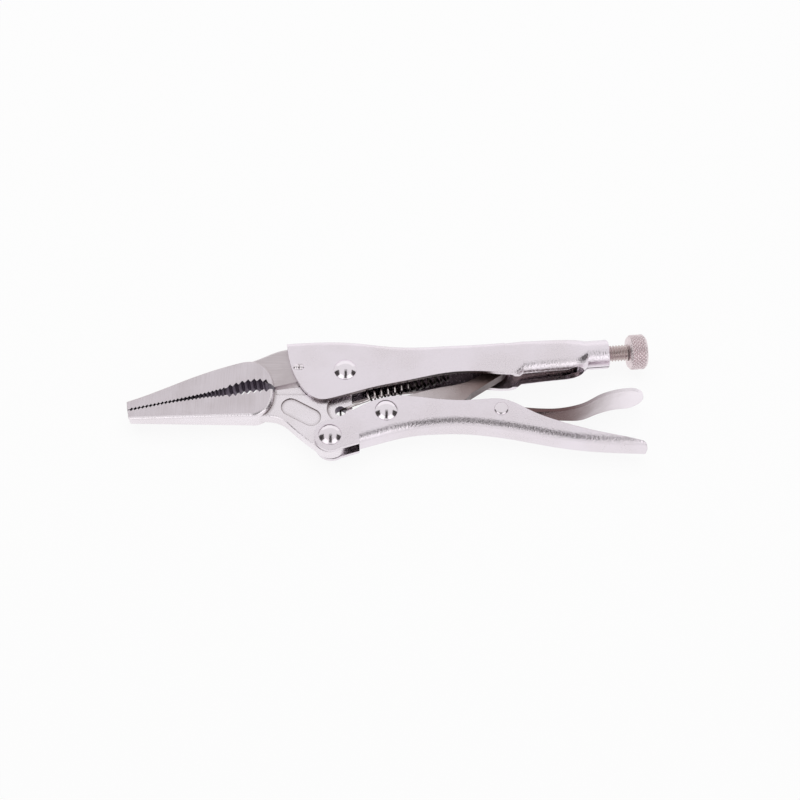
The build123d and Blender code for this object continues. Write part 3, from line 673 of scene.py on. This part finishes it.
wire_dia = 0.95 * mm
coil_radius = 2.55 * mm
coil_turns = 12
points_per_turn = 28
hook_bend = 1.3 * mm
hook_reach = 3.66 * mm
coil_start = main_pivot + Vector((10.0, -11.4, 0)) * mm
coil_end = main_pivot + Vector((45.0, 0.6, 0)) * mm
tab_place = main_pivot + Vector((58.0, 5.4, 0)) * mm
tab_half = 0.95 * mm
near = Vector((0, 0, 1))
rearward = Vector((1, 0, 0))
upward = Vector((0, 1, 0))
coil_way = (coil_end - coil_start).normalized()
coil_side = near.cross(coil_way)
coil_pitch = (coil_end - coil_start).length / coil_turns


def coil_point(turns):
    spoke = near * math.cos(full_turn * turns) + coil_side * math.sin(full_turn * turns)
    return coil_start + coil_way * (coil_pitch * turns) + spoke * coil_radius


first_turn = (coil_side + coil_way * 0.18).normalized()
bend_pull = hook_bend * 0.55
hook_top = hook_hole + near * coil_radius
run_end = coil_point(0) - coil_way * (0.25 * coil_radius) - coil_side * (0.9 * coil_radius)
run = (run_end - hook_top).normalized()
wire = [hook_hole - near * hook_reach, hook_hole, hook_top - near * hook_bend]
wire += eased(wire[-1], near * bend_pull, hook_top + run * hook_bend, run * bend_pull, 8)
wire += eased(wire[-1], run * 2 * mm, run_end, run * 2 * mm, 6)
wire += eased(run_end, run * mm, coil_point(0), first_turn * mm, 8)
wire += [coil_point(number / points_per_turn) for number in range(1, points_per_turn * coil_turns + 1)]
leave = coil_end + coil_way * 4.5 * mm
tab_front = tab_place - rearward * (tab_half + 1.5 * mm)
tab_back = tab_place + rearward * (tab_half + wire_dia)
lift = tab_back + (rearward + upward) * hook_bend
wire += eased(coil_point(coil_turns), first_turn * 2 * mm, leave, coil_way * 1.8 * mm, 12)
wire += eased(leave, coil_way * 2.5 * mm, tab_front, rearward * 2.5 * mm, 10)
wire += [tab_place, tab_back]
wire += eased(tab_back, rearward * bend_pull, lift, upward * bend_pull, 8)
wire.append(lift + upward * (2 * wire_dia))

wire_line = bpy.data.curves.new("wire_line", "CURVE")
wire_line.dimensions = "3D"
line = wire_line.splines.new("POLY")
line.points.add(len(wire) - 1)
for point, place in zip(line.points, wire):
    point.co = (*place, 1)

wire_form, wire_size = shaping("drawn_wire", ("Wire radius",), takes_path=True)
section = wire_form.add("GeometryNodeCurvePrimitiveCircle", {}, {
    "Resolution": 14, "Radius": wire_size["Wire radius"]})
drawn = wire_form.add("GeometryNodeCurveToMesh", {}, {
    "Curve": wire_size["Path"], "Profile Curve": section, "Fill Caps": True})
finish_shape(wire_form, drawn, painted_light_wire("painted_light_spring_wire", hook_top))
spring = grow_piece("jaw_spring_wound", wire_form, {"Wire radius": wire_dia / 2}, wire_line,
                    sharp_angle=50)
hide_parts("jaw_spring")
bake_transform(spring)


# Studio: a pale floor in white air, soft lamps overhead, behind the tool and on both sides of the
# camera, and dark flags beside the tool and around the camera that only the metal sees.
white = (1, 1, 1, 1)


def white_air(tree):
    """1 for the eye and for what metal and glass show, 0 for soft light."""
    seen = [tree.add("ShaderNodeLightPath", out=ray)
            for ray in ("Is Camera Ray", "Is Glossy Ray", "Is Transmission Ray")]
    return tree.maths("MINIMUM", seen[0] + seen[1] + seen[2], 1.0)


def paper(name, colour, white_share):
    """Matt paper, with this share of plain white where it is the background."""
    material = bpy.data.materials.new(name)
    material.use_nodes = True
    nodes = material.node_tree.nodes
    nodes.remove(nodes["Principled BSDF"])
    tree = Flow(material.node_tree)
    glow = tree.add("ShaderNodeEmission", {}, {"Color": white, "Strength": 1.0})
    matt = tree.add("ShaderNodeBsdfDiffuse", {}, {"Color": colour})
    mixed = tree.add("ShaderNodeMixShader", {}, {0: white_air(tree) * white_share, 1: matt, 2: glow})
    mixed.into(nodes["Material Output"].inputs["Surface"])
    return material


def card(name, place, aim, width, height, material):
    """A flat card that faces a point."""
    middle = Vector(place)
    away = (middle - Vector(aim)).normalized()
    is_upright = abs(away.y) < 0.95
    side = Vector((0, 1, 0)).cross(away) if is_upright else Vector((1, 0, 0))
    side = side.normalized() * (width / 2)
    rise = away.cross(side).normalized() * (height / 2)
    corners = [middle - side - rise, middle + side - rise, middle + side + rise, middle - side + rise]
    mesh = bpy.data.meshes.new(name)
    mesh.from_pydata([tuple(corner) for corner in corners], [], [(0, 1, 2, 3)])
    mesh.materials.append(material)
    piece = bpy.data.objects.new(name, mesh)
    bpy.context.scene.collection.objects.link(piece)
    return piece


floor_size = 6.0
white_floor = paper("white_floor", (0.86, 0.86, 0.86, 1), 0.9)
card("floor", (0, 0, 0), (0, 0, -1), floor_size, floor_size, white_floor)
flag_cloth = (0.03, 0.024, 0.022, 1)
flag_black = paper("flag_black", flag_cloth, 0.04)
flag_grey = paper("flag_grey", flag_cloth, 0.40)
flags = {
    "camera_flag": ((0.03, -0.40, 0.70), 0.28, 0.80, flag_black),
    "upper_flag": ((0.03, 0.04, 0.80), 0.28, 0.18, flag_grey),
    "left_flag": ((-0.80, -0.08, 0.36), 0.66, 0.58, flag_black),
    "right_flag": ((0.80, -0.08, 0.36), 0.66, 0.58, flag_black),
}
for name, (place, width, height, material) in flags.items():
    flag = card(name, place, (0, 0, 0), width, height, material)
    flag.visible_camera = False
    flag.visible_diffuse = False
    flag.visible_shadow = False


def softbox(name, place, width, height, power):
    """A soft lamp that points at the tool and that the eye doesn't see."""
    lamp = bpy.data.lights.new(name, "AREA")
    lamp.shape = "RECTANGLE"
    lamp.size = width
    lamp.size_y = height
    lamp.energy = power
    holder = bpy.data.objects.new(name, lamp)
    holder.location = place
    holder.rotation_euler = (-Vector(place)).to_track_quat("-Z", "Y").to_euler()
    holder.visible_camera = False
    bpy.context.scene.collection.objects.link(holder)
    return holder


overhead = softbox("overhead_light", (0.0, 0.35, 1.1), 1.6, 1.0, 8.0)
overhead.visible_glossy = False
softbox("left_light", (-0.44, -0.52, 0.50), 0.55, 0.45, 0.35)
softbox("right_light", (0.46, -0.52, 0.50), 0.62, 0.45, 0.40)
softbox("back_light", (0.0, 0.90, 0.28), 1.8, 0.5, 0.50)

soft_air = 0.45
mirrored_air = 0.42
seen_air = 0.13
world = bpy.data.worlds.new("studio_air")
world.use_nodes = True
bpy.context.scene.world = world
air = world.node_tree.nodes["Background"]
air.inputs["Color"].default_value = white
air_tree = Flow(world.node_tree)
eye = air_tree.add("ShaderNodeLightPath", out="Is Camera Ray")
(white_air(air_tree) * mirrored_air + eye * seen_air + soft_air).into(air.inputs["Strength"])
bpy.context.scene.view_settings.view_transform = "Standard"


# Camera: above the tool and a little towards its lower handle, where the photograph was taken. Its
# focal length and the small shift of its centre are in pixels of the photograph.
picture_width = 800
focal_length = 1410
off_centre = 12.5
view_tilt = math.radians(28)
view_distance = 616.9 * mm
view_centre = main_pivot + Vector((18.54, -12.27, 0)) * mm
camera_data = bpy.data.cameras.new("camera")
camera_data.sensor_width = 36
camera_data.lens = camera_data.sensor_width * focal_length / picture_width
camera_data.shift_x = off_centre / picture_width
camera_data.clip_start = 0.01
camera = bpy.data.objects.new("camera", camera_data)
camera.location = view_centre + view_distance * Vector((0, -math.sin(view_tilt), math.cos(view_tilt)))
camera.rotation_euler = (view_tilt, 0, 0)
bpy.context.scene.collection.objects.link(camera)
bpy.context.scene.camera = camera
